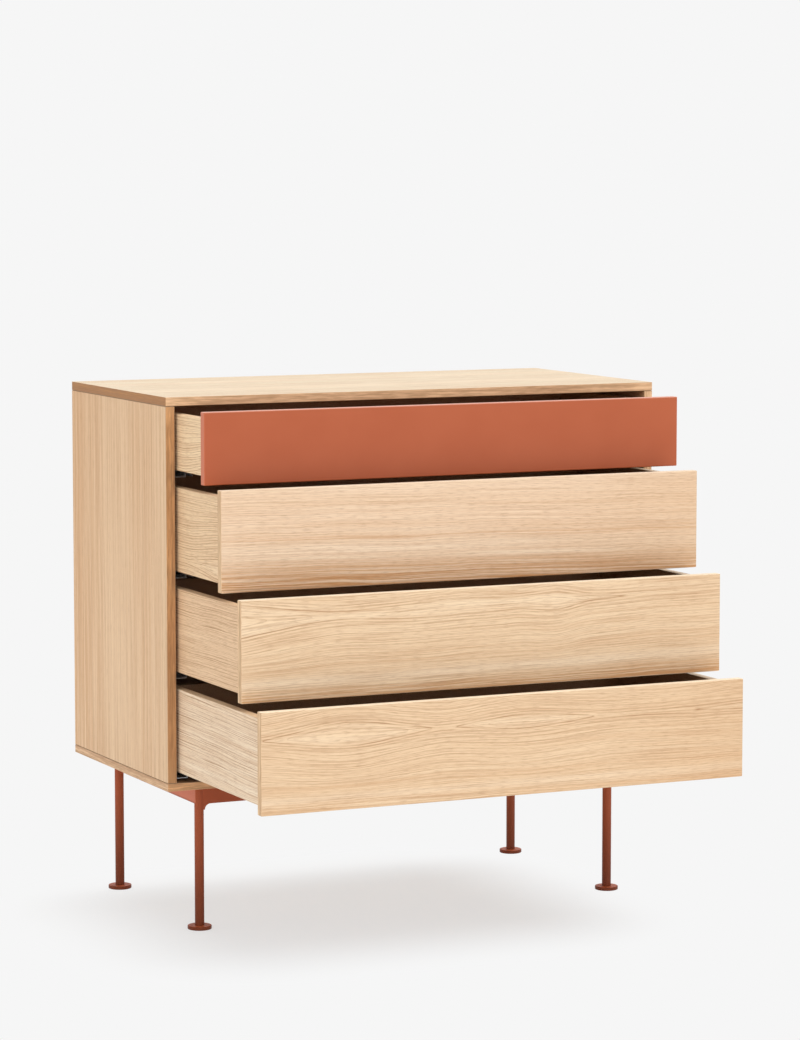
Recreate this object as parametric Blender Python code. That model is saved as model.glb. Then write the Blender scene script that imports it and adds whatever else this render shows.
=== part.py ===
"""Chest of four inset drawers on a slim steel base.

Metres, +Z up, the front towards -Y. The origin is on the floor, in the middle of the space that the chest
takes up with its drawers pulled out as they are modelled here.
"""
import bpy
import bmesh
from math import cos, pi, radians, sin
from mathutils import Vector

# Carcass
CARCASS_WIDTH = 0.920
CARCASS_DEPTH = 0.450
TOP_THICKNESS = 0.015
BOTTOM_THICKNESS = 0.0135
SIDE_THICKNESS = 0.016
BACK_THICKNESS = 0.006

# Drawer fronts, inset between the panels
TOP_FRONT_HEIGHT = 0.120
LOWER_FRONT_HEIGHT = 0.167
FRONT_THICKNESS = 0.016
REVEAL = 0.0025  # gap all round a closed front

# How far each drawer is pulled out
TOP_PULL = 0.123
SECOND_PULL = 0.194
THIRD_PULL = 0.276
BOTTOM_PULL = 0.356

# Drawer boxes
BOX_SIDE_THICKNESS = 0.016
BOX_BACK_THICKNESS = 0.016
BOX_SIDE_CLEARANCE = 0.005  # between the box and the carcass side
BOX_REAR_CLEARANCE = 0.028  # between a closed box and the carcass back
BOX_TOP_DROP = 0.011  # box top below the front's top
BOX_BOTTOM_RISE = 0.015  # box bottom above the front's bottom
TRAY_THICKNESS = 0.008  # drawer bottom
TRAY_RECESS = 0.0125  # drawer bottom above the lower edge of the sides
GROOVE_DEPTH = 0.006

# Runners: folded steel rails nested under the drawer bottom
RAIL_SHEET = 0.0012
RAIL_CLEARANCE = 0.0004  # between nested rails
RUNNER_WIDTH = 0.020
RUNNER_SETBACK = 0.002  # behind the drawer front
RUNNER_SIDE_GAP = 0.001  # between the drawer rail and the drawer side
RUNNER_LOWER_GAP = 0.002  # cabinet rail above the front's lower edge
RUNNER_FLANGE_HEIGHT = 0.025
MIDDLE_RAIL_HEIGHT = 0.012
DRAWER_RAIL_HEIGHT = 0.014

# Base
BASE_HEIGHT = 0.245  # floor to the underside of the carcass
LEG_DIAMETER = 0.016
LEG_INSET_SIDE = 0.0685  # leg axis from the carcass side
LEG_INSET_FRONT = 0.032  # front leg axis from the carcass front
LEG_INSET_REAR = 0.039  # rear leg axis from the carcass back
BASE_RAIL_HEIGHT = 0.030
BASE_RAIL_THICKNESS = 0.008
BASE_RAIL_SETBACK = 0.001  # rail face behind the outermost line of the legs
BASE_RAIL_FILLET = 0.010
FOOT_DIAMETER = 0.041
FOOT_THICKNESS = 0.0065

# Fits and finish
JOINT_GAP = 0.0003  # between boards that meet
EDGE_ROUND = 0.0008
FRONT_EDGE_ROUND = 0.0014
FOOT_EDGE_ROUND = 0.0012
EDGE_SEGMENTS = 2
LEG_SIDES = 32
FOOT_SIDES = 48
FILLET_STEPS = 6
SHARP_ANGLE = radians(30)

# The four drawers from top to bottom: name, front height, pull
DRAWERS = (
    ("top", TOP_FRONT_HEIGHT, TOP_PULL),
    ("second", LOWER_FRONT_HEIGHT, SECOND_PULL),
    ("third", LOWER_FRONT_HEIGHT, THIRD_PULL),
    ("bottom", LOWER_FRONT_HEIGHT, BOTTOM_PULL),
)

# Sizes that follow from those above
FRONT_STACK = sum(height + REVEAL for _, height, _ in DRAWERS) + REVEAL
CARCASS_HEIGHT = BOTTOM_THICKNESS + FRONT_STACK + TOP_THICKNESS
INNER_WIDTH = CARCASS_WIDTH - 2 * SIDE_THICKNESS
INNER_HALF = INNER_WIDTH / 2
BACK_FACE = CARCASS_DEPTH - BACK_THICKNESS
BOX_END = BACK_FACE - BOX_REAR_CLEARANCE
BOX_HALF = INNER_HALF - BOX_SIDE_CLEARANCE
BOX_INNER_HALF = BOX_HALF - BOX_SIDE_THICKNESS
TRAY_UNDERSIDE = BOX_BOTTOM_RISE + TRAY_RECESS
TRAY_TOP = TRAY_UNDERSIDE + TRAY_THICKNESS
CARCASS_FRONT = (max(pull for _, _, pull in DRAWERS) - CARCASS_DEPTH) / 2
LEG_RADIUS = LEG_DIAMETER / 2
LEG_X = CARCASS_WIDTH / 2 - LEG_INSET_SIDE
LEG_TOP = BASE_HEIGHT - JOINT_GAP
BASE_RAIL_BOTTOM = BASE_HEIGHT - BASE_RAIL_HEIGHT
BASE_RAIL_OUTER = LEG_RADIUS - BASE_RAIL_SETBACK  # rail's outer face from the leg's axis
BASE_RAIL_INNER = BASE_RAIL_OUTER - BASE_RAIL_THICKNESS

# Finishes: linear colour, roughness, metallic
FINISHES = {
    "oak_veneer": ((0.76, 0.56, 0.35), 0.55, 0.0),
    "terracotta_lacquer": ((0.48, 0.13, 0.065), 0.38, 0.0),
    "brown_lining": ((0.30, 0.13, 0.07), 0.6, 0.0),
    "terracotta_powder_coat": ((0.40, 0.10, 0.05), 0.5, 0.0),
    "runner_steel": ((0.42, 0.42, 0.43), 0.35, 1.0),
}


def clear_scene():
    for obj in list(bpy.data.objects):
        bpy.data.objects.remove(obj, do_unlink=True)


def finish(name):
    """The named finish as a material, made on first use."""
    material = bpy.data.materials.get(name)
    if material is None:
        colour, roughness, metallic = FINISHES[name]
        material = bpy.data.materials.new(name)
        material.use_nodes = True
        shader = material.node_tree.nodes["Principled BSDF"]
        shader.inputs["Base Color"].default_value = (*colour, 1.0)
        shader.inputs["Roughness"].default_value = roughness
        shader.inputs["Metallic"].default_value = metallic
    return material


def anchor(name, location):
    """An empty that carries the pieces of one body."""
    empty = bpy.data.objects.new(name, None)
    empty.location = location
    bpy.context.collection.objects.link(empty)
    return empty


def add_piece(name, bm, parent, location, finish_name=None):
    """Turn a bmesh into a named object under its parent. Without a finish it is a cutter."""
    bmesh.ops.recalc_face_normals(bm, faces=bm.faces)
    mesh = bpy.data.meshes.new(name)
    bm.to_mesh(mesh)
    bm.free()
    piece = bpy.data.objects.new(name, mesh)
    piece.parent = parent
    piece.location = location
    bpy.context.collection.objects.link(piece)
    if finish_name:
        mesh.materials.append(finish(finish_name))
    else:
        piece.hide_render = True
        piece.display_type = "WIRE"
    return piece


def box_mesh(size):
    """A box centred on its origin."""
    bm = bmesh.new()
    bmesh.ops.create_cube(bm, size=1.0)
    bmesh.ops.scale(bm, vec=size, verts=bm.verts)
    return bm


def box_piece(name, low, high, parent, finish_name=None):
    """A box between two corners given in its parent's space."""
    low, high = Vector(low), Vector(high)
    return add_piece(name, box_mesh(high - low), parent, (low + high) / 2, finish_name)


def round_edges(piece, width):
    bevel = piece.modifiers.new("rounded_edges", "BEVEL")
    bevel.width = width
    bevel.segments = EDGE_SEGMENTS
    bevel.limit_method = "ANGLE"
    bevel.angle_limit = SHARP_ANGLE


def board(name, low, high, parent, finish_name, edge=EDGE_ROUND):
    """A board with eased edges."""
    piece = box_piece(name, low, high, parent, finish_name)
    round_edges(piece, edge)
    return piece


def combine(piece, other, operation):
    boolean = piece.modifiers.new(operation.lower(), "BOOLEAN")
    boolean.operation = operation
    boolean.object = other


def extruded_mesh(outline, axis):
    """A flat outline of 3D points, extruded along a vector."""
    bm = bmesh.new()
    face = bm.faces.new([bm.verts.new(point) for point in outline])
    extruded = bmesh.ops.extrude_face_region(bm, geom=[face])
    moved = [item for item in extruded["geom"] if isinstance(item, bmesh.types.BMVert)]
    bmesh.ops.translate(bm, vec=axis, verts=moved)
    return bm


def cylinder_mesh(radius, height, sides):
    """An upright cylinder standing on its origin."""
    bm = bmesh.new()
    bmesh.ops.create_cone(bm, cap_ends=True, segments=sides, radius1=radius, radius2=radius, depth=height)
    bmesh.ops.translate(bm, vec=(0, 0, height / 2), verts=bm.verts)
    return bm


def shade_round(piece):
    piece.data.shade_smooth()
    piece.data.set_sharp_from_angle(angle=SHARP_ANGLE)


def make_carcass():
    carcass = anchor("carcass", (0, CARCASS_FRONT, BASE_HEIGHT))
    half = CARCASS_WIDTH / 2
    top_underside = CARCASS_HEIGHT - TOP_THICKNESS
    for name, low, high in (("bottom", 0, BOTTOM_THICKNESS), ("top", top_underside, CARCASS_HEIGHT)):
        board(name + "_panel", (-half, 0, low), (half, CARCASS_DEPTH, high), carcass, "oak_veneer")
    side_low = BOTTOM_THICKNESS + JOINT_GAP
    side_high = top_underside - JOINT_GAP
    for name, outer, inner in (("left", -half, -INNER_HALF), ("right", half, INNER_HALF)):
        low = (min(outer, inner), 0, side_low)
        high = (max(outer, inner), CARCASS_DEPTH, side_high)
        board(name + "_side_panel", low, high, carcass, "oak_veneer")
    back_half = INNER_HALF - JOINT_GAP
    low = (-back_half, BACK_FACE, side_low)
    high = (back_half, CARCASS_DEPTH, side_high)
    box_piece("back_panel", low, high, carcass, "brown_lining")


def make_drawer(name, height, drawer):
    """The front and the box of one drawer, in the space of its closed bay."""
    front_half = INNER_HALF - REVEAL
    lacquered = name == "top"
    front_finish = "terracotta_lacquer" if lacquered else "oak_veneer"
    front_low = (-front_half, 0, 0)
    front_high = (front_half, FRONT_THICKNESS, height)
    board(name + "_drawer_front", front_low, front_high, drawer, front_finish, FRONT_EDGE_ROUND)

    box_start = FRONT_THICKNESS + JOINT_GAP
    box_top = height - BOX_TOP_DROP
    for side, sign in (("left", -1), ("right", 1)):
        faces = sorted((sign * BOX_HALF, sign * BOX_INNER_HALF))
        low = (faces[0], box_start, BOX_BOTTOM_RISE)
        high = (faces[1], BOX_END, box_top)
        panel = board(f"{name}_drawer_{side}_side", low, high, drawer, "oak_veneer")
        groove_half = BOX_INNER_HALF + GROOVE_DEPTH
        groove = sorted((sign * groove_half, sign * (BOX_INNER_HALF - GROOVE_DEPTH)))
        low = (groove[0], 0, TRAY_UNDERSIDE - JOINT_GAP)
        high = (groove[1], BACK_FACE, TRAY_TOP + JOINT_GAP)
        cutter = box_piece(f"{name}_drawer_{side}_groove", low, high, drawer)
        combine(panel, cutter, "DIFFERENCE")

    back_half = BOX_INNER_HALF - JOINT_GAP
    low = (-back_half, BOX_END - BOX_BACK_THICKNESS, TRAY_TOP + JOINT_GAP)
    high = (back_half, BOX_END, box_top)
    board(name + "_drawer_back", low, high, drawer, "brown_lining")

    tray_half = BOX_INNER_HALF + GROOVE_DEPTH - JOINT_GAP
    low = (-tray_half, box_start, TRAY_UNDERSIDE)
    high = (tray_half, BOX_END, TRAY_TOP)
    box_piece(name + "_drawer_bottom", low, high, drawer, "brown_lining")


def strip_outline(path, thickness):
    """Outline of a strip of sheet whose middle follows a path of square turns."""
    path = [Vector(point) for point in path]
    runs = [(end - start).normalized() for start, end in zip(path, path[1:])]
    normals = [Vector((-run.y, run.x)) for run in runs]
    corners = [first + second for first, second in zip(normals, normals[1:])]
    offsets = [normals[0], *corners, normals[-1]]
    left = [point + offset * thickness / 2 for point, offset in zip(path, offsets)]
    right = [point - offset * thickness / 2 for point, offset in zip(path, offsets)]
    return left + right[::-1]


def channel_path(centre, half_width, top, low):
    """Middle line of a channel that is open below, from its outer faces and its lower edge."""
    half = half_width - RAIL_SHEET / 2
    web = top - RAIL_SHEET / 2
    return [(centre - half, low), (centre - half, web), (centre + half, web), (centre + half, low)]


def make_runners(name, bay, middle, drawer):
    """The left and right runners of one drawer. Distances run inwards from the carcass side."""
    drawer_side = BOX_SIDE_CLEARANCE + BOX_SIDE_THICKNESS
    centre = drawer_side + RUNNER_SIDE_GAP + RUNNER_WIDTH / 2
    step = RAIL_SHEET + RAIL_CLEARANCE
    drawer_top = TRAY_UNDERSIDE - JOINT_GAP
    drawer_half = RUNNER_WIDTH / 2
    middle_top = drawer_top - RAIL_SHEET - JOINT_GAP
    middle_half = drawer_half - step
    rib_top = middle_top - RAIL_SHEET - JOINT_GAP
    rib_half = middle_half - step
    shelf = RUNNER_LOWER_GAP + RAIL_SHEET / 2
    drawer_low = drawer_top - DRAWER_RAIL_HEIGHT
    middle_low = middle_top - MIDDLE_RAIL_HEIGHT
    flange = JOINT_GAP + RAIL_SHEET / 2
    flange_top = RUNNER_LOWER_GAP + RUNNER_FLANGE_HEIGHT

    rib = channel_path(centre, rib_half, rib_top, shelf)
    paths = (
        ("cabinet_rail", bay, [(flange, flange_top), (flange, shelf), *rib]),
        ("middle_rail", middle, channel_path(centre, middle_half, middle_top, middle_low)),
        ("drawer_rail", drawer, channel_path(centre, drawer_half, drawer_top, drawer_low)),
    )
    start = FRONT_THICKNESS + RUNNER_SETBACK
    length = BOX_END - start
    for rail, parent, path in paths:
        section = strip_outline(path, RAIL_SHEET)
        for side, sign in (("left", -1), ("right", 1)):
            outline = [(sign * (INNER_HALF - inward), 0, height) for inward, height in section]
            bm = extruded_mesh(outline, (0, length, 0))
            add_piece(f"{name}_drawer_{side}_{rail}", bm, parent, (0, start, 0), "runner_steel")


def make_drawers():
    level = BASE_HEIGHT + CARCASS_HEIGHT - TOP_THICKNESS
    for name, height, pull in DRAWERS:
        level -= REVEAL + height
        bay = anchor(name + "_bay", (0, CARCASS_FRONT, level))
        middle = anchor(name + "_middle_slide", (0, CARCASS_FRONT - pull / 2, level))
        drawer = anchor(name + "_drawer_slide", (0, CARCASS_FRONT - pull, level))
        make_drawer(name, height, drawer)
        make_runners(name, bay, middle, drawer)


def leg_frame_outline():
    """Front view of a frame's rail, with a fillet down to each leg, from the left leg to the right one."""
    leg_face = LEG_X - LEG_RADIUS
    root = LEG_X - LEG_RADIUS / 3  # the fillet's flat end lies inside the round leg
    toe = BASE_RAIL_BOTTOM - BASE_RAIL_FILLET
    arc = []
    for step in range(FILLET_STEPS + 1):
        angle = pi / 2 * step / FILLET_STEPS
        across = leg_face - BASE_RAIL_FILLET * (1 - cos(angle))
        arc.append((across, toe + BASE_RAIL_FILLET * sin(angle)))
    right = [(LEG_X, LEG_TOP), (LEG_X, BASE_RAIL_BOTTOM), (root, BASE_RAIL_BOTTOM), (root, toe), *arc]
    left = [(-across, height) for across, height in reversed(right)]
    return right + left


def make_leg_frame(name, base, leg_y, facing):
    """A rail and two round legs welded together. Facing is -1 at the front and 1 at the back."""
    outer = leg_y + facing * BASE_RAIL_OUTER
    outline = [(across, 0, height) for across, height in leg_frame_outline()]
    plate = extruded_mesh(outline, (0, -facing * BASE_RAIL_THICKNESS, 0))
    frame = add_piece(name + "_leg_frame", plate, base, (0, outer, 0), "terracotta_powder_coat")
    foot_top = FOOT_THICKNESS + JOINT_GAP
    for side, sign in (("left", -1), ("right", 1)):
        leg = add_piece(
            f"{name}_{side}_leg", cylinder_mesh(LEG_RADIUS, LEG_TOP - foot_top, LEG_SIDES), base,
            (sign * LEG_X, leg_y, foot_top),
        )
        combine(frame, leg, "UNION")
        shade_round(leg)
        foot = add_piece(
            f"{name}_{side}_foot", cylinder_mesh(FOOT_DIAMETER / 2, FOOT_THICKNESS, FOOT_SIDES), base,
            (sign * LEG_X, leg_y, 0), "terracotta_powder_coat",
        )
        round_edges(foot, FOOT_EDGE_ROUND)
        shade_round(foot)


def make_side_rail(side, sign, base, front_leg_y, rear_leg_y):
    """A flat rail between two legs, its ends cut to the round of the legs."""
    faces = sorted((sign * (LEG_X + BASE_RAIL_OUTER), sign * (LEG_X + BASE_RAIL_INNER)))
    low = (faces[0], front_leg_y, BASE_RAIL_BOTTOM)
    high = (faces[1], rear_leg_y, LEG_TOP)
    rail = box_piece(side + "_side_rail", low, high, base, "terracotta_powder_coat")
    for end, leg_y in (("front", front_leg_y), ("rear", rear_leg_y)):
        cope = add_piece(
            f"{side}_{end}_cope", cylinder_mesh(LEG_RADIUS + JOINT_GAP, BASE_HEIGHT, LEG_SIDES), base,
            (sign * LEG_X, leg_y, 0),
        )
        combine(rail, cope, "DIFFERENCE")


def make_base():
    base = anchor("base", (0, CARCASS_FRONT, 0))
    front_leg_y = LEG_INSET_FRONT
    rear_leg_y = CARCASS_DEPTH - LEG_INSET_REAR
    make_leg_frame("front", base, front_leg_y, -1)
    make_leg_frame("rear", base, rear_leg_y, 1)
    make_side_rail("left", -1, base, front_leg_y, rear_leg_y)
    make_side_rail("right", 1, base, front_leg_y, rear_leg_y)


clear_scene()
make_carcass()
make_drawers()
make_base()
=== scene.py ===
"""Looks of the chest of drawers: finishes, small fittings, stage, light and camera.

Metres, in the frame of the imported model: +Z up, the front towards -Y, the floor at z = 0.
"""
from dataclasses import dataclass
from math import cos, pi, radians, sin

import bmesh
import bpy
from mathutils import Matrix, Vector


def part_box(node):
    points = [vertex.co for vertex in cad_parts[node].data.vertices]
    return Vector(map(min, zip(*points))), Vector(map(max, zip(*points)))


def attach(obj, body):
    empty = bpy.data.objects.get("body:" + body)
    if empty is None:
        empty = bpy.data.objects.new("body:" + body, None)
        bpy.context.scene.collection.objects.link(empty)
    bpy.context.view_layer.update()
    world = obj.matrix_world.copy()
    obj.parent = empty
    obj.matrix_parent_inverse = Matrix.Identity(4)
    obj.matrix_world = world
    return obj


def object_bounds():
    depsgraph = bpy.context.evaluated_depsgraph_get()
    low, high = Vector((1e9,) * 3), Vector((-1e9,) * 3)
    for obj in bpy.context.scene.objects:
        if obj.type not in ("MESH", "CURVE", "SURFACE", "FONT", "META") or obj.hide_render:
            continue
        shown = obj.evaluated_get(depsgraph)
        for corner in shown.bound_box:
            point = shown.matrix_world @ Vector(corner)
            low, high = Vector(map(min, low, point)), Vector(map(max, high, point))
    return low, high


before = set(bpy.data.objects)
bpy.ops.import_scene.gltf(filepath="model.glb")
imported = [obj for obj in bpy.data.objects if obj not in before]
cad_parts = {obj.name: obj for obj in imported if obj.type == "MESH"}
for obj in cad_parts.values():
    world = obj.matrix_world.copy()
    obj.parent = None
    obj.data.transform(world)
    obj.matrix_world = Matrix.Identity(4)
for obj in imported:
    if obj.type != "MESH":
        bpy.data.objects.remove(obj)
cad_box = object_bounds()

DRAWERS = ("top", "second", "third", "bottom")
QUARTERS = ((1, 1), (-1, 1), (-1, -1), (1, -1))  # signs of x and y in the four quarters of a plane

# Camera, at the photograph's viewing angle. The photograph is taken as 800 x 1040 pixels.
PHOTO_HEIGHT = 1040
FOCAL_PIXELS = 3681
SENSOR = 36.0  # millimetres, along the photograph's long side
CAMERA_PLACE = (-2.695, -5.7205, 1.330)
CAMERA_YAW = radians(-25.153)
CAMERA_PITCH = radians(-5.883)
CAMERA_REACH = 100.0  # how far the camera sees

# Stage and light
BACKDROP = 0.922  # grey of the seamless background
WORLD_LIGHT = 0.62  # strength of the light from all round
FLOOR_HALF = 12.0  # half the floor's side
FLOOR_GREY = 0.86
SHADOW_SHARE = 0.385  # share of the floor's own shading that shows in the picture
SHADOW_CENTRE = (-0.12, 0.015, 0.0)  # middle of the rectangle where that share shows in full
SHADOW_HALF = (0.24, 0.165, 0.0)  # half the rectangle's sides
SHADOW_REACH = 0.32  # the shading fades out within this distance of the rectangle
LAMP_DISTANCE = 3.0  # stands the lamps outside the chest, and changes nothing in a sun's light
# Soft lamps: name, strength, angular size in degrees, direction that the light comes from
LAMPS = (
    ("overhead", 1.18, 25, (0.35, 0.16, 1.0)),
    ("front_fill", 1.06, 70, (0.05, -0.95, 0.40)),
    ("left_fill", 0.50, 55, (-1.0, -0.15, 0.20)),
)

# Colours as they are seen, in sRGB
OAK_PALE = "#fce4c1"
# paler, cooler oak of the top, partly painted sheen
OAK_CREAM_AND_SHEEN = "#f0e3c8"
OAK_ROSE = "#fee6cb"
OAK_HONEY = "#fce0b7"
OAK_AMBER = "#fbdcb6"
OAK_LIGHT = "#ffebcf"
OAK_WARM = "#e0b990"
OAK_LINE = "#b3845c"
OAK_PORE = "#a0734e"
# brown of heartwood bands, used also for painted shade
OAK_HEART_AND_SHADE = "#cf955e"
JOINT = "#6e4f38"
# darker edge band, partly painted shade from the open drawers beside it
EDGE_BAND_AND_SHADE = "#daa571"
EDGE_END = "#b88350"
EDGE_WARM = "#ffd5a8"
EDGE_LOW = "#f5be8a"
EDGE_PALE = "#f5cda3"
EDGE_SIDE = "#fad9b1"
EDGE_HONEY = "#fedcb0"
# pale edge band, made paler still as a painted highlight
EDGE_BAND_AND_HIGHLIGHT = "#feecd0"
LINING_DARK = "#a98562"
LINING_LIGHT = "#bb9878"
LACQUER = "#ba5f3a"
LACQUER_DEEP = "#b75c37"
# painted highlight on the lacquered front's upper edge
LACQUER_PAINTED_HIGHLIGHT = "#e0a08a"
# painted light on the lacquered front's ends
LACQUER_ENDS_PAINTED_LIGHT = "#cc7250"
COAT = "#b05836"
# deeper coat for its grain, and painted shade down the legs
COAT_GRAIN_AND_SHADE = "#6e3219"
# paler coat, painted light on the sides of the rails
COAT_PAINTED_LIGHT = "#d57a5b"
ZINC_LIGHT = "#dfe1e4"
ZINC_DARK = "#b9bbbe"
BLACKED_LIGHT = "#4c4e50"
BLACKED_DARK = "#323436"

# Noise: its mean, and the range that holds most of it
NOISE_MEAN = 0.5
NOISE_RANGE = (0.3, 0.7)

# How squarely a face looks along an axis, from where a tint starts to where it covers in full
END_FACE = (0.6, 0.8)
EDGE_FACE = (0.35, 0.6)
LINED_FACE = (0.2, 0.35)
LACQUER_FACE = (0.3, 0.5)
LEVEL_FACE = (0.5, 0.8)
RAIL_FACE = (0.9, 1.0)

# Oak: sizes of its marks along and across the grain
WANDER_LENGTH = 0.33
WANDER = 0.006  # how far the grain strays from its straight course
WANDER_SHIFT = 10  # times the place of a board's axis, so that no two boards stray alike
WARP_LENGTH = 0.12
WARP_WIDTH = 0.03
WARP = 0.004  # how far the lines waver
TONE_WIDTH = 0.050
BREAK_LENGTH = 0.14
BREAK_WIDTH = 0.004
STREAK_LENGTH = 0.30
STREAK_WIDTH = 0.0090
FIBRE_LENGTH = 0.15
FIBRE_WIDTH = 0.0014
PORE_LENGTH = 0.020
PORE_WIDTH = 0.0011
SEAM_LENGTH = 0.22
SEAM_WIDTH = 0.0024
MOTTLE_LENGTH = 0.028
MOTTLE_WIDTH = 0.0035
LINE_WIDTH = 0.0015
VEIN_WIDTH = 0.0017
RING_UNEVEN_WIDTH = 0.014
RING_UNEVEN = 1.6  # how far a ring starts from its even place, in rings
JOINT_LINE = 0.0012  # height of the dark line where a side meets the top or bottom

# Oak: ranges of the noise in which its marks come up
BREAK_RANGE = (0.36, 0.60)
FIBRE_RANGE = (0.46, 0.66)
PORE_RANGE = (0.50, 0.68)
FLECK_RANGE = (0.50, 0.26)  # pale flecks between the pores
SEAM_RANGE = (0.38, 0.60)
MOTTLE_RANGE = (0.36, 0.66)

# Oak: how strongly its marks colour the wood, where a cut asks for 1
TONE_SHARE = 0.18
STREAK_SHARE = 0.38
FIBRE_SHARE = 0.46
PORE_SHARE = 0.38
FLECK_SHARE = 0.20
CORE_SHARE = 0.12
JOINT_SHARE = 0.8
SEAM_LEFT = 0.12  # what is left of a brown band between its seams
RING_SHARE = 0.42
RING_LEAST = 0.10  # strength of the faintest ring
RING_IN_HEART_AND_SHADE = 0.9  # added in the brown bands, heartwood and painted shade alike
RING_IN_FIGURE = 0.25  # added close to the figure's axis
BREAK_LEFT = 0.25  # what is left of a line where it breaks
EDGE_STREAKS = 0.50
EDGE_MOTTLE = 0.50
EDGE_FIBRES = 0.60

# Oak, the figure: where the veneer was peeled close to the heart of the log, lines run round an axis
FIGURE_NEAR = 0.050  # out to here a swell pushes the lines aside in full
FIGURE_REACH = 0.115  # from here on not at all
FIGURE_ZONE = 0.048  # the lines are bold this close to the axis
TIP = 0.002  # how blunt the lines turn at the axis
FLOW = 0.034  # the fibres run straighter than the lines this close to the axis
CORE = -0.008  # where the figure is palest, counted outwards from the axis
CORE_REACH = 0.009
GENTLEST = 0.15  # least slope of the lines against the face, which keeps them thin at the axis
FULL_SLOPE = 0.5  # slope from which a line shows in full
AXIS_LEFT = 0.2  # what is left of a line at the axis

# Oak: surface
OAK_ROUGHNESS = 0.52
FIBRE_ROUGHNESS = 0.12  # added on the fibres
OAK_SPECULAR = 0.25
LINE_DEPTH = 0.4  # of the dark lines, as a share of the fibres' height
PORE_DEPTH = 0.6

# Other finishes: marks to the metre or their sizes along x, y and z, and how they show
LACQUER_PATCHES = 12
LACQUER_SHEEN = 160
LACQUER_PEEL = 420
LACQUER_ROUGHNESS = (0.34, 0.40)
LACQUER_SPECULAR = 0.3
COAT_GRAIN = 1500
COAT_GRAIN_SHARE = 0.3
COAT_ROUGHNESS = (0.40, 0.52)
COAT_SPECULAR = 0.2
LEG_PAINTED_SHADE = 0.8  # painted shade: how much darker the coat is at the foot of a leg
RAIL_RISE = 0.004  # the painted light on the sides of the rails comes in within this height where a leg meets a rail
LINEN_MARKS = (0.0011, 0.006, 0.0011)
LINING_SPECKS = 600
LINING_ROUGHNESS = (0.48, 0.62)
DRAWN_MARKS = (0.0006, 0.04, 0.0006)
STEEL_SPANGLES = 140
STEEL_TONES = (0.7, 1.3)  # range of the two kinds of marks added up
STEEL_ROUGHNESS = (0.26, 0.42)
ZINC_METALLIC = 0.6
BLACKED_METALLIC = 1.0

# Bump: its depth, and how strongly it shows on each finish
RELIEF = 0.0002
STEEL_RELIEF = 0.0001
OAK_BUMP = 0.35
LACQUER_BUMP = 0.10
COAT_BUMP = 0.25
LINING_BUMP = 0.15
STEEL_BUMP = 0.3

# Fittings
SHARP_ANGLE = radians(30)
SCREW_RADIUS = 0.004
SCREW_HEIGHT = 0.0016
SCREW_SIDES = 36
SCREW_LOBES = 6
# Rings of a screw head from its seat to the floor of its drive: share of the radius, share of the height,
# depth of the lobes as a share of the radius
SCREW_RINGS = ((1, 0, 0), (1, 0.35, 0), (0.9, 0.75, 0), (0.65, 1, 0), (0.42, 1, 0.07), (0.42, 0.3, 0.07))
BACK_SCREW_INSET = 0.009
BACK_SCREW_COLUMNS = 5
BACK_SCREW_ROWS = 3
PLATE_CORNER = 0.006
PLATE_EASE = 0.0005
CORNER_STEPS = 6
TAB_LENGTH = 0.044
TAB_WIDTH = 0.024
TAB_THICKNESS = 0.003
TAB_SPREAD = 0.56  # tabs along a leg frame, as a share of the legs' distance from the middle
STOP_THICKNESS = 0.0012
STOP_GAP = 0.0003  # between a stop and the end of its rail
STOP_DROP = 0.0030  # how far a stop hangs below its rail


def linear(colour):
    """An sRGB hex colour as linear RGBA."""
    shares = [int(colour[i:i + 2], 16) / 255 for i in (1, 3, 5)]
    return (*(c / 12.92 if c <= 0.04045 else ((c + 0.055) / 1.055) ** 2.4 for c in shares), 1.0)


def grey(level):
    """A grey as linear RGBA."""
    return (level, level, level, 1.0)


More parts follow.
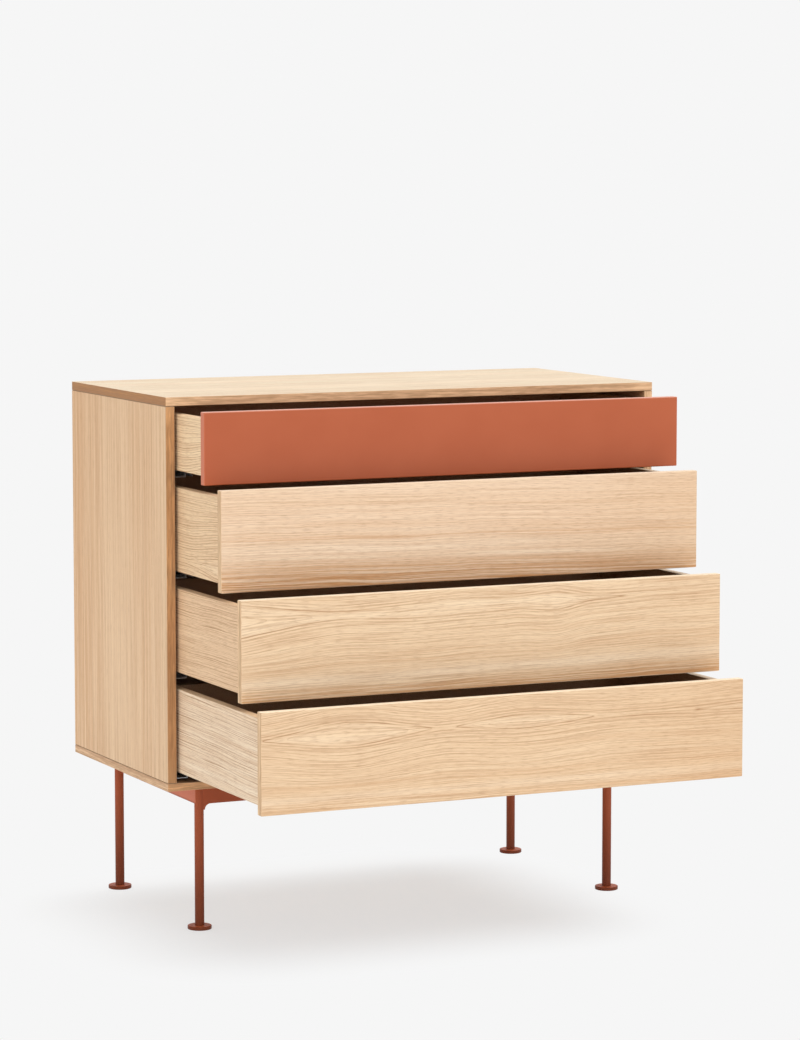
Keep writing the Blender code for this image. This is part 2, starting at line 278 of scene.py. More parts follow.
class Graph:
    """Writes a node tree. Most methods add one node and give back its output."""

    def __init__(self, tree):
        self.tree = tree

    def feed(self, socket, value):
        """Link an output to a socket, or set the socket's own value."""
        if isinstance(value, bpy.types.NodeSocket):
            self.tree.links.new(value, socket)
        else:
            socket.default_value = value

    def node(self, kind, inputs=(), **settings):
        """Add a node and give back the node itself."""
        made = self.tree.nodes.new("ShaderNode" + kind)
        for name, value in settings.items():
            setattr(made, name, value)
        for socket, value in dict(inputs).items():
            self.feed(made.inputs[socket], value)
        return made

    def math(self, operation, *values):
        return self.node("Math", enumerate(values), operation=operation).outputs[0]

    def vector(self, operation, *values):
        return self.node("VectorMath", enumerate(values), operation=operation).outputs[0]

    def add(self, first, second):
        return self.math("ADD", first, second)

    def less(self, first, second):
        return self.math("SUBTRACT", first, second)

    def times(self, first, second):
        return self.math("MULTIPLY", first, second)

    def size(self, value):
        return self.math("ABSOLUTE", value)

    def fit(self, value, low, high, start=0.0, end=1.0):
        """Map low..high smoothly onto start..end."""
        inputs = {0: value, 1: low, 2: high, 3: start, 4: end}
        return self.node("MapRange", inputs, interpolation_type="SMOOTHSTEP").outputs[0]

    def hump(self, value, centre, reach, height):
        """A smooth hill of this height around the centre."""
        return self.fit(self.size(self.less(value, centre)), reach, 0.0, 0.0, height)

    def blend(self, factor, first, second):
        """A number between two others."""
        return self.node("Mix", {0: factor, 2: first, 3: second}, data_type="FLOAT").outputs[0]

    def mix(self, factor, first, second):
        """A colour between two others."""
        return self.node("Mix", {0: factor, 6: first, 7: second}, data_type="RGBA").outputs[2]

    def noise(self, place, scale=1.0, detail=2.0):
        """Noise in space, or along a line where the place is a single number."""
        on_line = place.type == "VALUE"
        inputs = {"W" if on_line else "Vector": place, "Scale": scale, "Detail": detail}
        return self.node("TexNoise", inputs, noise_dimensions="1D" if on_line else "3D").outputs[0]

    def marks(self, place, sizes, detail=2.0):
        """Noise in marks of these sizes along the three axes."""
        scales = [1 / size for size in sizes]
        return self.noise(self.vector("MULTIPLY", place, scales), detail=detail)

    def axes(self, vector):
        """The three parts of a vector, by letter."""
        outputs = self.node("SeparateXYZ", {0: vector}).outputs
        return dict(zip("xyz", outputs))

    def join(self, *parts):
        """A vector from its three parts."""
        return self.node("CombineXYZ", enumerate(parts)).outputs[0]


class Finish(Graph):
    """A material with one Principled shader, its colour laid on in steps."""

    def __init__(self, name, colour):
        self.material = bpy.data.materials.new(name)
        self.material.use_nodes = True
        super().__init__(self.material.node_tree)
        self.shader = self.tree.nodes["Principled BSDF"]
        self.colour = linear(colour)
        source = self.node("TexCoord")
        self.place = source.outputs["Object"]
        self.facing = self.axes(source.outputs["Normal"])

    def towards(self, axis, sign, low, high):
        """1 on faces that look along an axis, with sign 0 for both ways."""
        part = self.facing[axis]
        part = self.times(part, sign) if sign else self.size(part)
        return self.fit(part, low, high)

    def cover(self, share, colour):
        """Lay a linear colour over the finish."""
        self.colour = self.mix(share, self.colour, colour)

    def tint(self, share, colour):
        """Lay an sRGB hex colour over the finish."""
        self.cover(share, linear(colour))

    def set(self, socket, value):
        """Feed one of the shader's sockets."""
        self.feed(self.shader.inputs[socket], value)

    def complete(self, roughness, height, strength, depth=RELIEF):
        """Feed the shader with the colour, a roughness and a bump, and give back the material."""
        self.set("Base Color", self.colour)
        self.set("Roughness", roughness)
        bump = self.node("Bump", {"Height": height, "Distance": depth, "Strength": strength})
        self.set("Normal", bump.outputs[0])
        return self.material


@dataclass
class Cut:
    """How a board was cut from its log."""

    grain: str  # axis along the grain
    across: str  # axis across the board's face
    depth: str  # axis through the board
    face: float  # place of the face on that axis
    inward: int  # which way the board lies behind its face
    axis: float  # place of the figure's axis across the face, far off the board for plain grain
    ring: float = 0.0045  # width of a growth ring
    tilt: float = 0.0  # climb of the grain along the board
    tan: float = 0.0  # share of the warm tone all over
    lines: float = 1.0  # how strongly the rings show
    choice: float = 2.0  # how few of the rings are bold
    fibres: float = 1.0  # how strongly the fibres show
    pores: float = 1.0  # how strongly the pores show
    streaks: float = 1.0  # how strongly the streaks show
    stretch: float = 1.0  # how long the marks are
    pale: str = OAK_PALE  # colour of the plain wood
    swells: tuple = ()  # (place, reach, height) where the lines swell away from the axis
    veins: tuple = ()  # (distance out from the axis, strength) of the boldest lines
    heart_and_shade_bands: tuple = ()  # (level, reach, strength) of brown bands along the grain, heartwood or painted shade
    lights: tuple = ()  # the same for pale bands
    ends: tuple = ()  # the same for stretches of painted shade, warm and darker, counted along the grain


class Oak(Finish):
    """Oak veneer. All its marks follow the growth rings of the log that it was cut from."""

    def __init__(self, name, cut):
        super().__init__(name, cut.pale)
        self.cut = cut
        place = self.axes(self.place)
        along = place[cut.grain]
        shifted = self.add(along, WANDER_SHIFT * cut.axis)
        wander = self.less(self.noise(shifted, 1 / WANDER_LENGTH), NOISE_MEAN)
        climb = self.add(self.times(along, cut.tilt), self.times(wander, WANDER))
        self.along = along
        self.level = self.less(place[cut.across], climb)
        sunk = self.times(self.less(place[cut.depth], cut.face), cut.inward)
        board = self.join(along, self.level, sunk)
        warp = self.less(self.marks(board, (WARP_LENGTH, WARP_WIDTH, WARP_WIDTH)), NOISE_MEAN)
        self.offset = self.math("MULTIPLY_ADD", warp, WARP, self.less(self.level, cut.axis))
        self.slant = self.hypotenuse(TIP)
        rise, flow = self.slant, self.offset
        if cut.swells:
            swell = self.swell()
            rise = self.less(rise, swell)
            share = self.less(1.0, self.math("DIVIDE", swell, self.hypotenuse(FLOW)))
            flow = self.times(flow, share)

        # On an end the edging's own grain runs along the edge
        end_face = self.towards(cut.grain, 0, *END_FACE)
        along = self.blend(end_face, along, place[cut.across])
        flow = self.blend(end_face, flow, place[cut.depth])
        self.rise = self.blend(end_face, rise, place[cut.depth])
        self.log = self.join(along, flow, sunk)

    def hypotenuse(self, leg):
        """Distance from the figure's axis, rounded off close to it by a second leg."""
        squares = self.math("MULTIPLY_ADD", self.offset, self.offset, leg * leg)
        return self.math("SQRT", squares)

    def swell(self):
        """How far the lines are pushed away from the figure's axis."""
        height = 0.0
        for place in self.cut.swells:
            height = self.add(height, self.hump(self.along, *place))
        near = self.fit(self.size(self.offset), FIGURE_REACH, FIGURE_NEAR)
        return self.times(near, height)

    def mark(self, length, width, detail=2.0):
        """Noise in marks along the grain, as long as the cut makes them."""
        return self.marks(self.log, (length * self.cut.stretch, width, width), detail)

    def bands(self, across, places):
        """How much of a tint there is, for (centre, reach, strength) of its bands across a direction."""
        cover = 0.0
        for band in places:
            cover = self.math("MAXIMUM", cover, self.hump(across, *band))
        return cover

    def ring_lines(self, heart_and_shade):
        """Thin dark lines where each growth ring starts, uneven in spacing and strength, and broken."""
        cut = self.cut
        uneven = self.noise(self.rise, 1 / RING_UNEVEN_WIDTH)
        count = self.math("MULTIPLY_ADD", uneven, RING_UNEVEN, self.times(self.rise, 1 / cut.ring))
        slope = self.math("DIVIDE", self.size(self.offset), self.slant)
        slope_seen = self.math("MAXIMUM", slope, GENTLEST)
        behind = self.math("DIVIDE", self.times(self.math("FRACT", count), cut.ring), slope_seen)
        ring = self.math("FLOOR", count)
        chance = self.node("TexWhiteNoise", {"W": ring}, noise_dimensions="1D").outputs["Value"]
        bold = self.add(RING_SHARE * cut.lines, self.times(heart_and_shade, RING_IN_HEART_AND_SHADE))
        if cut.swells:
            bold = self.add(bold, self.hump(self.offset, 0.0, FIGURE_ZONE, RING_IN_FIGURE))
        strength = self.math("MULTIPLY_ADD", self.math("POWER", chance, cut.choice), bold, RING_LEAST)
        strength = self.times(strength, self.fit(slope, 0.0, FULL_SLOPE, AXIS_LEFT, 1.0))
        line = self.times(self.fit(behind, LINE_WIDTH, 0.0), strength)
        for distance, amount in cut.veins:
            aside = self.math("DIVIDE", self.size(self.less(self.rise, distance)), slope_seen)
            line = self.math("MAXIMUM", line, self.fit(aside, VEIN_WIDTH, 0.0, 0.0, amount))
        broken = self.fit(self.mark(BREAK_LENGTH, BREAK_WIDTH), *BREAK_RANGE, BREAK_LEFT, 1.0)
        return self.times(line, broken)

    def band_edges(self, edges, marks):
        """Lay on the edge bands, for (mark, strength) of what shows on them."""
        for axis, shade, marked in edges:
            banded = linear(shade)
            for mark, share in marks:
                banded = self.mix(self.times(mark, share * marked), banded, linear(OAK_PORE))
            self.cover(self.towards(axis, 0, *EDGE_FACE), banded)


def linen(finish):
    """How light the brown lining is, in a faint linen grain."""
    return finish.fit(finish.marks(finish.place, LINEN_MARKS, detail=3), *NOISE_RANGE)


def oak_finish(name, cut, edges, hidden, joints=()):
    """Oak veneer. Edges are (axis, colour, strength of marks) of banded edges.

    Hidden are the (axis, sign) of lined faces, and joints the places along the grain of the dark lines
    where the board meets its neighbours.
    """
    oak = Oak(name, cut)
    heart_and_shade = oak.bands(oak.level, cut.heart_and_shade_bands)
    line = oak.ring_lines(heart_and_shade)
    tone = oak.fit(oak.noise(oak.rise, 1 / TONE_WIDTH), *NOISE_RANGE)
    streak = oak.fit(oak.mark(STREAK_LENGTH, STREAK_WIDTH, detail=5), *NOISE_RANGE)
    fibre = oak.fit(oak.mark(FIBRE_LENGTH, FIBRE_WIDTH, detail=3), *FIBRE_RANGE)
    pore = oak.marks(oak.log, (PORE_LENGTH, PORE_WIDTH, PORE_WIDTH))
    dark_pore = oak.fit(pore, *PORE_RANGE)
    mottle = oak.marks(oak.log, (MOTTLE_LENGTH, MOTTLE_WIDTH, MOTTLE_WIDTH), detail=3)
    mottle = oak.fit(mottle, *MOTTLE_RANGE)

    oak.tint(oak.math("MULTIPLY_ADD", tone, TONE_SHARE, cut.tan), OAK_WARM)
    oak.tint(oak.times(streak, STREAK_SHARE * cut.streaks), OAK_WARM)
    if cut.lights:
        oak.tint(oak.bands(oak.level, cut.lights), OAK_LIGHT)
    # painted shade towards the ends of a board
    if cut.ends:
        oak.tint(oak.bands(oak.along, cut.ends), OAK_WARM)
    if cut.swells:
        oak.tint(oak.hump(oak.rise, CORE, CORE_REACH, CORE_SHARE), OAK_LIGHT)
    # brown bands: heartwood, and painted shade along the fronts' lower edges and the side panels' rear
    if cut.heart_and_shade_bands:
        seam = oak.fit(oak.mark(SEAM_LENGTH, SEAM_WIDTH, detail=3), *SEAM_RANGE, SEAM_LEFT, 1.0)
        oak.tint(oak.times(heart_and_shade, seam), OAK_HEART_AND_SHADE)
    oak.tint(oak.fit(pore, *FLECK_RANGE, 0.0, FLECK_SHARE * cut.pores), OAK_LIGHT)
    oak.tint(oak.times(fibre, FIBRE_SHARE * cut.fibres), OAK_LINE)
    oak.tint(line, OAK_LINE)
    oak.tint(oak.times(dark_pore, PORE_SHARE * cut.pores), OAK_PORE)
    oak.band_edges(edges, ((streak, EDGE_STREAKS), (mottle, EDGE_MOTTLE), (fibre, EDGE_FIBRES)))
    for joint in joints:
        oak.tint(oak.hump(oak.along, joint, JOINT_LINE, JOINT_SHARE), JOINT)
    lining = oak.mix(linen(oak), linear(LINING_DARK), linear(LINING_LIGHT))
    for axis, sign in hidden:
        oak.cover(oak.towards(axis, sign, *LINED_FACE), lining)

    oak.set("Specular IOR Level", OAK_SPECULAR)
    roughness = oak.math("MULTIPLY_ADD", fibre, FIBRE_ROUGHNESS, OAK_ROUGHNESS)
    relief = oak.math("MULTIPLY_ADD", line, -LINE_DEPTH, fibre)
    relief = oak.math("MULTIPLY_ADD", dark_pore, -PORE_DEPTH, relief)
    return oak.complete(roughness, relief, OAK_BUMP)


def lacquer_finish():
    """Satin lacquer with a faint orange peel, its ends paler as painted light and its upper edge as a
    painted highlight.
    """
    finish = Finish("terracotta_lacquer", LACQUER)
    patches = finish.noise(finish.place, LACQUER_PATCHES)
    sheen = finish.noise(finish.place, LACQUER_SHEEN)
    peel = finish.noise(finish.place, LACQUER_PEEL, detail=1)
    finish.tint(finish.fit(patches, *NOISE_RANGE), LACQUER_DEEP)
    # painted light on the ends, and a painted highlight along the upper edge
    finish.tint(finish.towards("x", 0, *LACQUER_FACE), LACQUER_ENDS_PAINTED_LIGHT)
    finish.tint(finish.towards("z", 1, *LACQUER_FACE), LACQUER_PAINTED_HIGHLIGHT)
    finish.set("Specular IOR Level", LACQUER_SPECULAR)
    return finish.complete(finish.fit(sheen, *NOISE_RANGE, *LACQUER_ROUGHNESS), peel, LACQUER_BUMP)


def coat_finish():
    """Powder coat: a fine even grain, darker down the legs as painted shade and paler on the sides of the
    rails as painted light.
    """
    finish = Finish("terracotta_powder_coat", COAT)
    leg_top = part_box("left_side_rail")[0].z
    height = finish.axes(finish.place)["z"]
    grain = finish.noise(finish.place, COAT_GRAIN, detail=3)
    upright = finish.less(1.0, finish.towards("z", 1, *LEVEL_FACE))
    # painted shade: the coat darkens towards the foot of each leg
    leg_painted_shade = finish.times(upright, finish.fit(height, leg_top, 0.0, 0.0, LEG_PAINTED_SHADE))
    grain_and_shade = finish.math("MULTIPLY_ADD", finish.fit(grain, *NOISE_RANGE), COAT_GRAIN_SHARE, leg_painted_shade)
    finish.tint(grain_and_shade, COAT_GRAIN_AND_SHADE)
    # painted light: the sides of the rails are paler
    on_rail = finish.fit(height, leg_top, leg_top + RAIL_RISE)
    finish.tint(finish.times(on_rail, finish.towards("x", 0, *RAIL_FACE)), COAT_PAINTED_LIGHT)
    finish.set("Specular IOR Level", COAT_SPECULAR)
    return finish.complete(finish.fit(grain, *NOISE_RANGE, *COAT_ROUGHNESS), grain, COAT_BUMP)


def lining_finish():
    """Brown laminated board."""
    finish = Finish("brown_lining", LINING_DARK)
    specks = finish.noise(finish.place, LINING_SPECKS, detail=3)
    finish.tint(linen(finish), LINING_LIGHT)
    return finish.complete(finish.fit(specks, *NOISE_RANGE, *LINING_ROUGHNESS), specks, LINING_BUMP)


def steel_finish(name, light, dark, metallic):
    """Plated sheet, drawn along the rails."""
    finish = Finish(name, dark)
    drawn = finish.marks(finish.place, DRAWN_MARKS, detail=3)
    spangles = finish.noise(finish.place, STEEL_SPANGLES)
    finish.tint(finish.fit(finish.add(drawn, spangles), *STEEL_TONES), light)
    finish.set("Metallic", metallic)
    roughness = finish.fit(drawn, *NOISE_RANGE, *STEEL_ROUGHNESS)
    return finish.complete(roughness, drawn, STEEL_BUMP, STEEL_RELIEF)


def dress(node, material):
    """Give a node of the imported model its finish."""
    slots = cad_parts[node].data.materials
    slots.clear()
    slots.append(material)


# Carcass: how each panel was cut from its log, with places in the frame, and its edge bands
# The top's paler colour is partly painted sheen.
TOP_CUT = dict(
    axis=1.05, ring=0.006, tilt=0.01, tan=0.06, pores=0.6, pale=OAK_CREAM_AND_SHEEN,
    lights=((0.10, 0.06, 0.4), (0.28, 0.04, 0.4)),
)
TOP_EDGES = (("y", EDGE_WARM, 0.7), ("x", EDGE_END, 1.0))
BOTTOM_CUT = dict(axis=1.05, ring=0.006, tilt=-0.01)
BOTTOM_EDGES = (("y", EDGE_LOW, 1.0), ("x", EDGE_PALE, 0.8))
# The brown band at the rear of each side panel is painted shade.
SIDE_PANEL_CUT = dict(
    axis=0.95, ring=0.006, tilt=0.008, tan=0.13, lines=2.2, choice=4.0, pores=0.5, streaks=1.9, stretch=2.2,
    pale=OAK_AMBER,
    heart_and_shade_bands=((0.06, 0.10, 0.25), (0.40, 0.22, 0.58)),
)
SIDE_PANEL_TOP_SHADE = (0.45, 0.35)  # reach and strength of the painted shade below the upper end
SIDE_PANEL_MARKS = 1.1  # strength of the marks on the edge bands
# Side, which way the board lies behind its outer face, colour of its edge bands, the left one darker as
# painted shade
SIDE_PANELS = (("left", 1, EDGE_BAND_AND_SHADE), ("right", -1, EDGE_PALE))


def dress_carcass():
    """Flat panels with straight grain."""
    top = cad_box[1].z
    cut = Cut(grain="x", across="y", depth="z", face=top, inward=-1, **TOP_CUT)
    dress("top_panel", oak_finish("oak_top", cut, TOP_EDGES, [("z", -1)]))
    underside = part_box("bottom_panel")[0].z
    cut = Cut(grain="x", across="y", depth="z", face=underside, inward=1, **BOTTOM_CUT)
    dress("bottom_panel", oak_finish("oak_bottom", cut, BOTTOM_EDGES, [("z", 1)]))
    for side, inward, edge in SIDE_PANELS:
        node = f"{side}_side_panel"
        low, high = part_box(node)
        outer = low.x if side == "left" else high.x
        cut = Cut(grain="z", across="y", depth="x", face=outer, inward=inward, **SIDE_PANEL_CUT)
        # painted shade below the upper end
        cut.ends = ((high.z, *SIDE_PANEL_TOP_SHADE),)
        edges = [("y", edge, SIDE_PANEL_MARKS)]
        hidden = [("x", inward), ("z", 0)]
        dress(node, oak_finish(f"oak_{side}_side", cut, edges, hidden, joints=(low.z, high.z)))


# Oak drawer fronts: how each was cut from its log, with heights above its lower edge
# The brown band along each front's lower edge is partly painted shade.
FRONT_CUTS = {
    "second": dict(
        axis=-0.35, ring=0.0045, tilt=-0.018, tan=0.20, lines=0.5, fibres=0.6, pores=0.75, streaks=0.7,
        stretch=1.5, pale=OAK_ROSE,
        heart_and_shade_bands=((0.0, 0.062, 1.0), (0.077, 0.010, 0.45), (0.06, 0.20, 0.22)),
        lights=((0.060, 0.018, 0.35), (0.045, 0.005, 0.45)),
        # painted shade towards the right end
        ends=((0.46, 0.40, 0.36),),
    ),
    "third": dict(
        axis=0.137, ring=0.0046, tilt=0.009, tan=0.21, fibres=0.9, pores=0.65,
        swells=((-0.50, 0.26, 0.030), (-0.06, 0.40, 0.012), (0.125, 0.075, 0.008)),
        veins=((-0.0185, 0.45), (-0.008, 0.30), (0.0005, 0.75), (0.0055, 0.45), (0.011, 0.3)),
        heart_and_shade_bands=((0.0, 0.034, 0.9), (0.06, 0.03, 0.15)),
        lights=((0.033, 0.014, 0.35),),
        # painted shade towards the right end
        ends=((0.46, 0.30, 0.15),),
    ),
    "bottom": dict(
        # the deeper tan is partly painted shade, since this front stands furthest out into the light
        axis=0.122, ring=0.0046, tan=0.35, fibres=0.9, pores=0.7, stretch=1.4,
        swells=((-0.29, 0.185, 0.019), (0.03, 0.17, 0.0115), (0.50, 0.24, 0.006)),
        veins=((-0.0055, 0.40), (0.0, 0.85), (0.0045, 0.60), (0.0085, 0.40), (0.015, 0.3)),
        heart_and_shade_bands=((0.0, 0.026, 0.4), (0.038, 0.012, 0.2)),
        lights=((0.021, 0.010, 0.3),),
        # painted shade towards the right end
        ends=((0.46, 0.40, 0.42),),
    ),
}
# The fronts' pale upper and lower edge bands are partly a painted highlight.
FRONT_EDGES = (("z", EDGE_BAND_AND_HIGHLIGHT, 0.2), ("x", EDGE_HONEY, 0.8))


def raised(bands, base):
    """Bands at heights above a base, moved to their heights in the frame."""
    return [(base + height, reach, strength) for height, reach, strength in bands]


def dress_fronts():
    """Oak fronts with their grain from side to side."""
    for name, facts in FRONT_CUTS.items():
        node = f"{name}_drawer_front"
        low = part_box(node)[0]
        cut = Cut(grain="x", across="z", depth="y", face=low.y, inward=1, **facts)
        cut.axis += low.z
        cut.heart_and_shade_bands = raised(cut.heart_and_shade_bands, low.z)
        cut.lights = raised(cut.lights, low.z)
        dress(node, oak_finish(f"oak_{name}_front", cut, FRONT_EDGES, [("y", 1)]))


# Drawer sides: what they share, and how each was cut from its log. The height of the axis counts from the
# lower edge, and the front end of the drawer lies at the lowest y.
DRAWER_SIDE_CUT = dict(ring=0.0042, lines=3.4, choice=1.2, pores=0.7)
DRAWER_SIDE_CUTS = {
    "top": dict(axis=-0.020, tan=-0.08, pale=OAK_HONEY, swells=((-0.22, 0.15, 0.020),)),
    "second": dict(axis=0.022, tan=0.18, pale=OAK_HONEY, swells=((-0.26, 0.18, 0.014),)),
    "third": dict(axis=-0.20, tilt=-0.006, tan=0.30, pale=OAK_AMBER),
    "bottom": dict(axis=-0.25, tilt=0.016, pale=OAK_LIGHT),
}
DRAWER_SIDE_MARKS = 0.4  # strength of the marks on the edge bands
DRAWER_SIDES = (("left", 1, EDGE_SIDE), ("right", -1, EDGE_BAND_AND_HIGHLIGHT))  # as for the side panels; the right sides' paler edge bands are painted light


def dress_drawer_sides():
    """Oak sides with their grain from front to back."""
    for name, facts in DRAWER_SIDE_CUTS.items():
        for side, inward, edge in DRAWER_SIDES:
            node = f"{name}_drawer_{side}_side"
            low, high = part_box(node)
            outer = low.x if side == "left" else high.x
            wood = DRAWER_SIDE_CUT | facts
            cut = Cut(grain="y", across="z", depth="x", face=outer, inward=inward, **wood)
            cut.axis += low.z
            edges = [("z", edge, DRAWER_SIDE_MARKS)]
            dress(node, oak_finish(f"oak_{name}_{side}", cut, edges, [("x", inward)]))


def dress_chest(coat, zinc):
    """Give every node its finish."""
    lining = lining_finish()
    blacked = steel_finish("blacked_steel", BLACKED_LIGHT, BLACKED_DARK, BLACKED_METALLIC)
    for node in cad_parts:
        if node.endswith("_cabinet_rail"):
            dress(node, zinc)
        elif node.endswith(("_middle_rail", "_drawer_rail")):
            dress(node, blacked)
        elif node.endswith(("_leg_frame", "_side_rail", "_foot")):
            dress(node, coat)
        elif node.endswith(("_drawer_back", "_drawer_bottom")) or node == "back_panel":
            dress(node, lining)
    dress("top_drawer_front", lacquer_finish())
    dress_carcass()
    dress_fronts()
    dress_drawer_sides()


def add_loft(bm, rings, place):
    """Skin a stack of rings of points and close its ends, moved to its place by a matrix."""
    loops = [[bm.verts.new(place @ Vector(point)) for point in ring] for ring in rings]
    for lower, upper in zip(loops, loops[1:]):
        for i in range(len(lower)):
            bm.faces.new((lower[i - 1], lower[i], upper[i], upper[i - 1]))
    bm.faces.new(loops[0])
    bm.faces.new(loops[-1])


def seat(point, direction):
    """The matrix that stands a fitting on a point, its own +Z along the direction."""
    return Matrix.Translation(point) @ Vector(direction).to_track_quat("Z", "Y").to_matrix().to_4x4()


def round_ring(radius, height, lobe):
    """A circle of points, or a lobed one."""
    ring = []
    for i in range(SCREW_SIDES):
        angle = 2 * pi * i / SCREW_SIDES
        reach = radius + lobe * cos(SCREW_LOBES * angle)
        ring.append((reach * cos(angle), reach * sin(angle), height))
    return ring


def add_screw(bm, point, direction):
    """A pan-head screw with a six-lobed drive."""
    rings = [
        round_ring(SCREW_RADIUS * radius, SCREW_HEIGHT * height, SCREW_RADIUS * lobe)
        for radius, height, lobe in SCREW_RINGS
    ]
    add_loft(bm, rings, seat(point, direction))


def plate_ring(length, width, inset, height):
    """A rectangle with round corners, drawn in by an inset."""
    corner = PLATE_CORNER - inset
    ring = []
    for quarter, (x, y) in enumerate(QUARTERS):
        centre_x, centre_y = x * (length / 2 - PLATE_CORNER), y * (width / 2 - PLATE_CORNER)
        for step in range(CORNER_STEPS + 1):
            angle = pi / 2 * (quarter + step / CORNER_STEPS)
            ring.append((centre_x + corner * cos(angle), centre_y + corner * sin(angle), height))
    return ring


def add_plate(bm, length, width, thickness, place):
    """A flat plate with round corners and eased edges, standing on its place."""
    levels = ((PLATE_EASE, 0), (0, PLATE_EASE), (0, thickness - PLATE_EASE), (PLATE_EASE, thickness))
    add_loft(bm, [plate_ring(length, width, inset, height) for inset, height in levels], place)


def make_piece(name, bm, material, body):
    """Turn a bmesh into a piece that rides on a body."""
    bmesh.ops.recalc_face_normals(bm, faces=bm.faces)
    mesh = bpy.data.meshes.new(name)
    bm.to_mesh(mesh)
    bm.free()
    mesh.materials.append(material)
    mesh.shade_smooth()
    mesh.set_sharp_from_angle(angle=SHARP_ANGLE)
    piece = bpy.data.objects.new(name, mesh)
    bpy.context.collection.objects.link(piece)
    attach(piece, body)


def spread(low, high, count):
    """Evenly spaced places from low to high."""
    return [low + (high - low) * i / (count - 1) for i in range(count)]


def make_back_screws(zinc):
    """Screws round the edge of the back panel."""
    low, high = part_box("back_panel")
    columns = spread(low.x + BACK_SCREW_INSET, high.x - BACK_SCREW_INSET, BACK_SCREW_COLUMNS)
    rows = spread(low.z + BACK_SCREW_INSET, high.z - BACK_SCREW_INSET, BACK_SCREW_ROWS)
    bm = bmesh.new()
    for x in columns:
        for z in rows:
            if x in (columns[0], columns[-1]) or z in (rows[0], rows[-1]):
                add_screw(bm, (x, high.y, z), (0, 1, 0))
    make_piece("back_screws", bm, zinc, "chest")


def make_base_tabs(coat, zinc):
    """Plates welded to the base's rails, with a screw up into the bottom panel through each."""
    front_low, front_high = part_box("front_leg_frame")
    rear_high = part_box("rear_leg_frame")[1]
    radius = (front_high.y - front_low.y) / 2
    leg_x = front_high.x - radius
    front_y, rear_y = front_low.y + radius, rear_high.y - radius
    reach = TAB_WIDTH / 2
    tabs = [(side * (leg_x - reach), (front_y + rear_y) / 2, TAB_WIDTH, TAB_LENGTH) for side in (-1, 1)]
    for side in (-1, 1):
        for y in (front_y + reach, rear_y - reach):
            tabs.append((side * leg_x * TAB_SPREAD, y, TAB_LENGTH, TAB_WIDTH))
    plates, screws = bmesh.new(), bmesh.new()
    underside = front_high.z - TAB_THICKNESS
    for x, y, length, width in tabs:
        add_plate(plates, length, width, TAB_THICKNESS, Matrix.Translation((x, y, underside)))
        add_screw(screws, (x, y, underside), (0, 0, -1))
    make_piece("base_tabs", plates, coat, "chest")
    make_piece("base_screws", screws, zinc, "chest")


def make_rail_stops(zinc):
    """Stop plates on the front ends of the middle rails, reaching a little below them."""
    for name in DRAWERS:
        bm = bmesh.new()
        for side in ("left", "right"):
            low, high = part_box(f"{name}_drawer_{side}_middle_rail")
            centre = ((low.x + high.x) / 2, low.y - STOP_GAP, (low.z + high.z) / 2 - STOP_DROP / 2)
            height = high.z - low.z + STOP_DROP
            add_plate(bm, high.x - low.x, height, STOP_THICKNESS, seat(centre, (0, -1, 0)))
        make_piece(f"{name}_middle_rail_stops", bm, zinc, f"{name}_middle_rails")


def seen(graph):
    """1 for what is seen directly, in a reflection or through glass, 0 for light on the chest."""
    path = graph.node("LightPath").outputs
    direct = graph.math("MAXIMUM", path["Is Camera Ray"], path["Is Glossy Ray"])
    return graph.math("MAXIMUM", direct, path["Is Transmission Ray"])


def shadow_zone(graph):
    """Share of the floor's own shading that shows: full in a rectangle, then fading out around it."""
    place = graph.node("TexCoord").outputs["Object"]
    aside = graph.vector("ABSOLUTE", graph.vector("SUBTRACT", place, SHADOW_CENTRE))
    outside = graph.vector("MAXIMUM", graph.vector("SUBTRACT", aside, SHADOW_HALF), (0.0, 0.0, 0.0))
    distance = graph.node("VectorMath", {0: outside}, operation="LENGTH").outputs["Value"]
    return graph.fit(distance, 0.0, SHADOW_REACH, SHADOW_SHARE, 0.0)


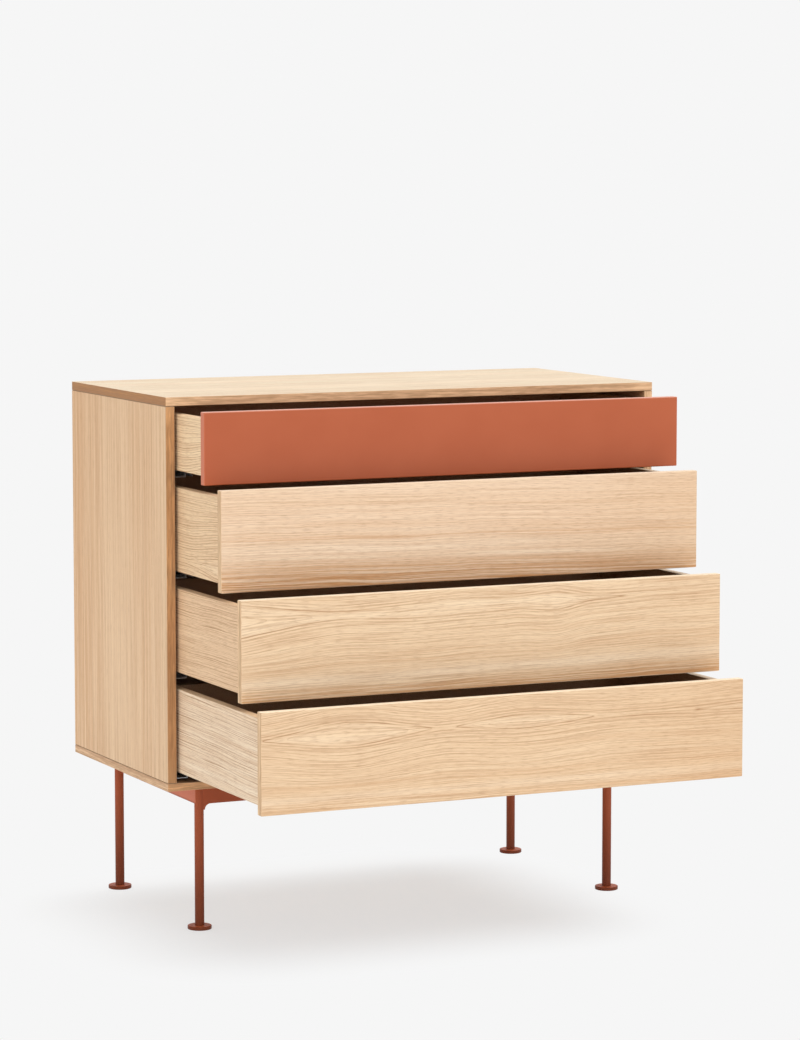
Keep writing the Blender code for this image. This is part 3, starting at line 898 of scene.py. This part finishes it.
def floor_finish():
    """A floor that looks like the backdrop, with some of its own shading below the chest."""
    material = bpy.data.materials.new("studio_floor")
    material.use_nodes = True
    graph = Graph(material.node_tree)
    graph.tree.nodes.remove(graph.tree.nodes["Principled BSDF"])
    plain = graph.times(seen(graph), graph.less(1.0, shadow_zone(graph)))
    shaded = graph.node("BsdfDiffuse", {"Color": grey(FLOOR_GREY)})
    glow = graph.node("Emission", {"Color": grey(BACKDROP)})
    surface = graph.node("MixShader", {0: plain, 1: shaded.outputs[0], 2: glow.outputs[0]})
    graph.feed(graph.tree.nodes["Material Output"].inputs["Surface"], surface.outputs[0])
    return material


def make_stage():
    """A wide floor, with a backdrop of the same grey past its edge."""
    mesh = bpy.data.meshes.new("floor")
    mesh.from_pydata([(x * FLOOR_HALF, y * FLOOR_HALF, 0.0) for x, y in QUARTERS], [], [(0, 1, 2, 3)])
    mesh.materials.append(floor_finish())
    floor = bpy.data.objects.new("floor", mesh)
    bpy.context.collection.objects.link(floor)


def make_light():
    """Soft lamps, and a world that lights the chest from all round and looks like the backdrop."""
    scene = bpy.context.scene
    scene.view_settings.view_transform = "Standard"
    world = bpy.data.worlds.new("studio")
    world.use_nodes = True
    scene.world = world
    graph = Graph(world.node_tree)
    background = graph.tree.nodes["Background"]
    graph.feed(background.inputs["Color"], grey(1.0))
    graph.feed(background.inputs["Strength"], graph.blend(seen(graph), WORLD_LIGHT, BACKDROP))
    for name, strength, size, source in LAMPS:
        light = bpy.data.lights.new(name, "SUN")
        light.energy = strength
        light.angle = radians(size)
        lamp = bpy.data.objects.new(name, light)
        lamp.location = LAMP_DISTANCE * Vector(source)
        lamp.rotation_euler = Vector(source).to_track_quat("Z", "Y").to_euler()
        bpy.context.collection.objects.link(lamp)


def make_camera():
    """A camera where the photograph's one stood, with its angle of view."""
    data = bpy.data.cameras.new("photo_camera")
    data.sensor_width = SENSOR
    data.lens = SENSOR * FOCAL_PIXELS / PHOTO_HEIGHT
    data.clip_end = CAMERA_REACH
    camera = bpy.data.objects.new("photo_camera", data)
    camera.location = CAMERA_PLACE
    camera.rotation_euler = (pi / 2 + CAMERA_PITCH, 0, CAMERA_YAW)
    bpy.context.collection.objects.link(camera)
    bpy.context.scene.camera = camera


coat = coat_finish()
zinc = steel_finish("zinc_steel", ZINC_LIGHT, ZINC_DARK, ZINC_METALLIC)
dress_chest(coat, zinc)
make_back_screws(zinc)
make_base_tabs(coat, zinc)
make_rail_stops(zinc)
make_stage()
make_light()
make_camera()
